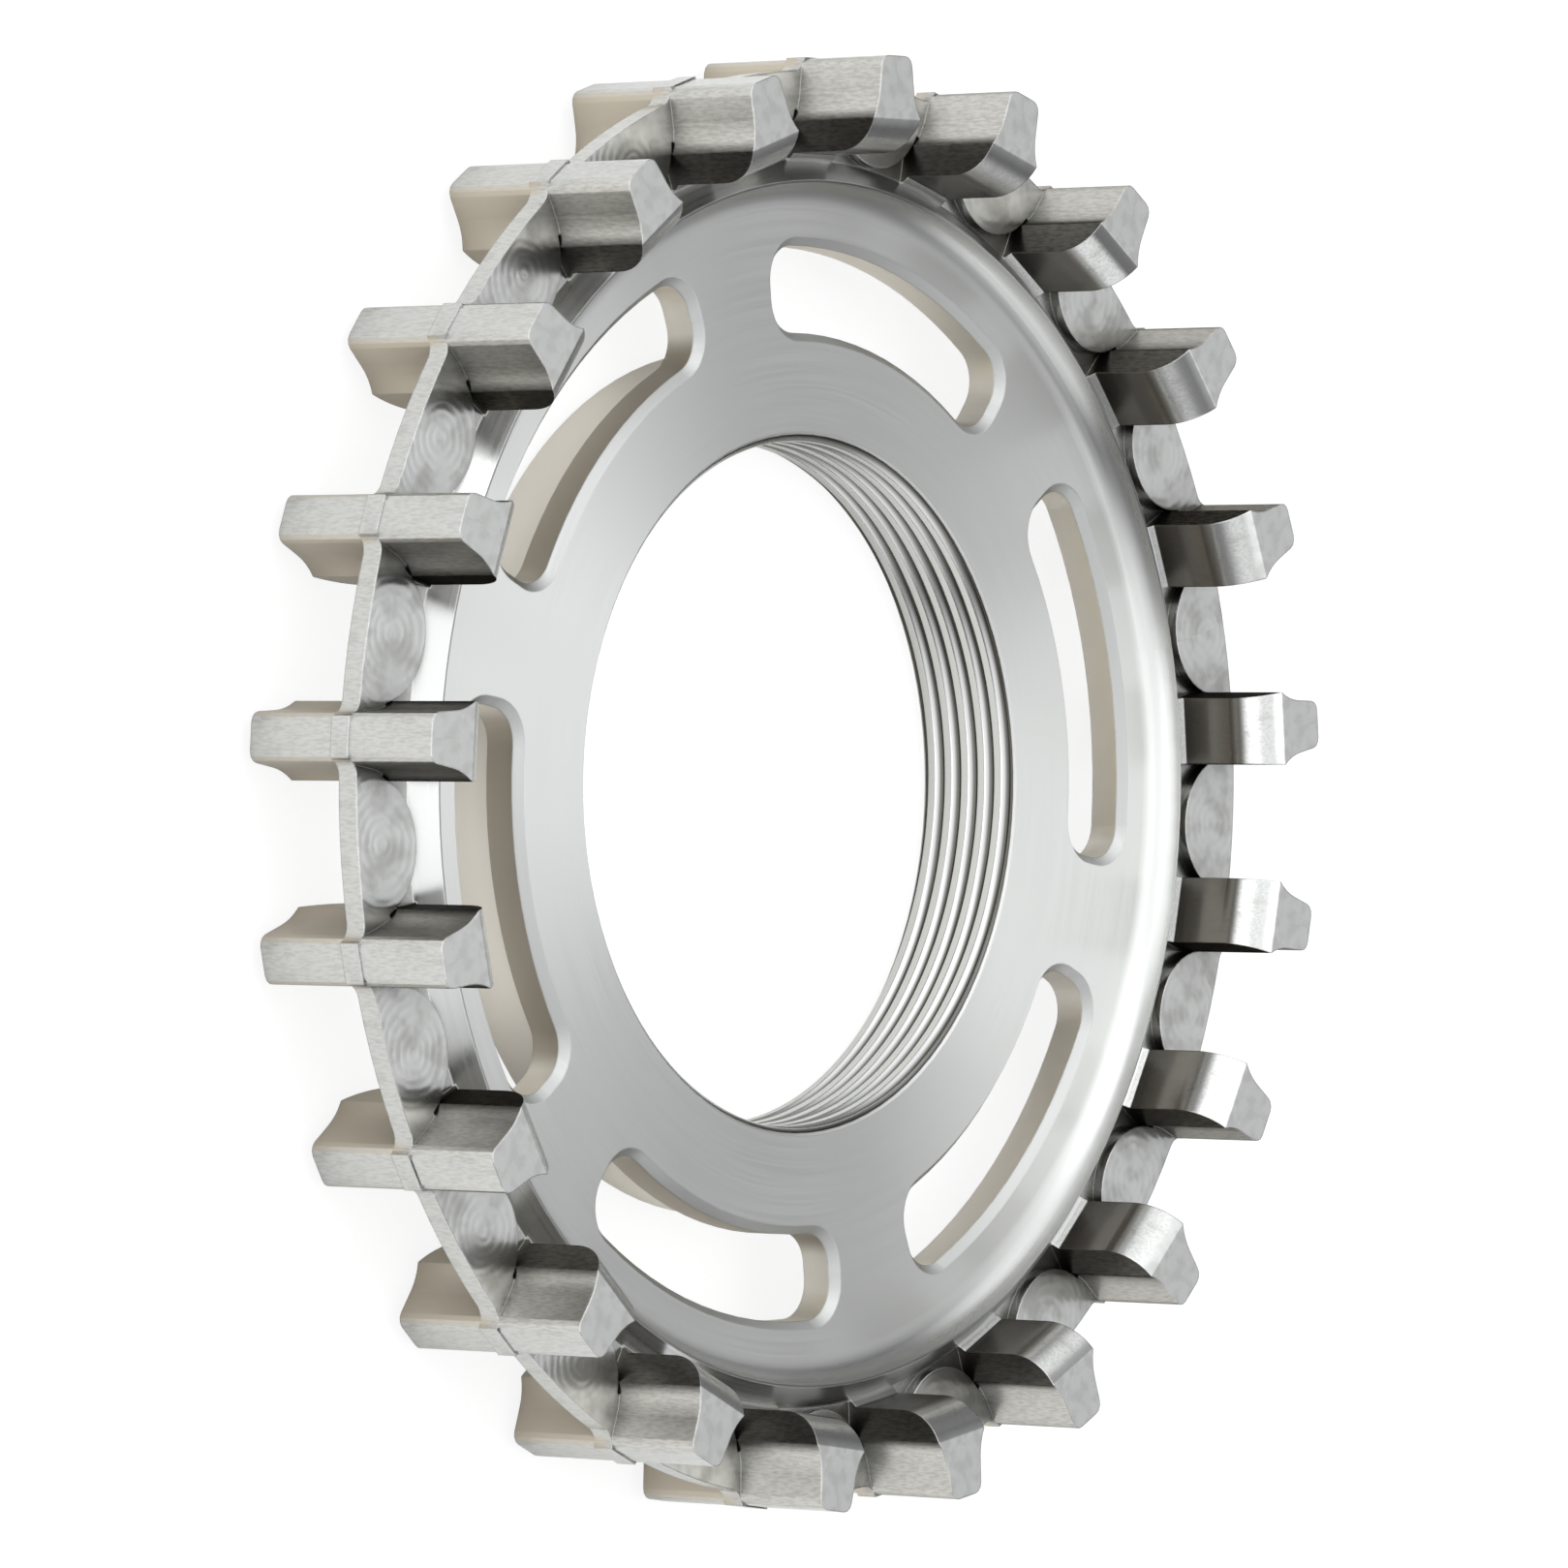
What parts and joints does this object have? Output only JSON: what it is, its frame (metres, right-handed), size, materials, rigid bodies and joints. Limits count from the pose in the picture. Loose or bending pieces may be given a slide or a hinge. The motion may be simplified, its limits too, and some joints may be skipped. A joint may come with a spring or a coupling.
{
  "type": "belt drive sprocket",
  "caption": "Flat steel ring sprocket for a toothed bicycle belt: teeth split by a thin centre fin, slotted web, short threaded hub.",
  "frame": {"origin": "centre of the threaded bore at the hub's back face", "axes": "+Z along the bore axis towards the face side, +X through the middle of one tooth and one web slot"},
  "size_m": [0.0719, 0.072, 0.012],
  "materials": {
    "sprocket_steel": "bright satin machined steel"
  },
  "bodies": {
    "root": {"sprocket": "sprocket_steel"}
  },
  "joints": []
}
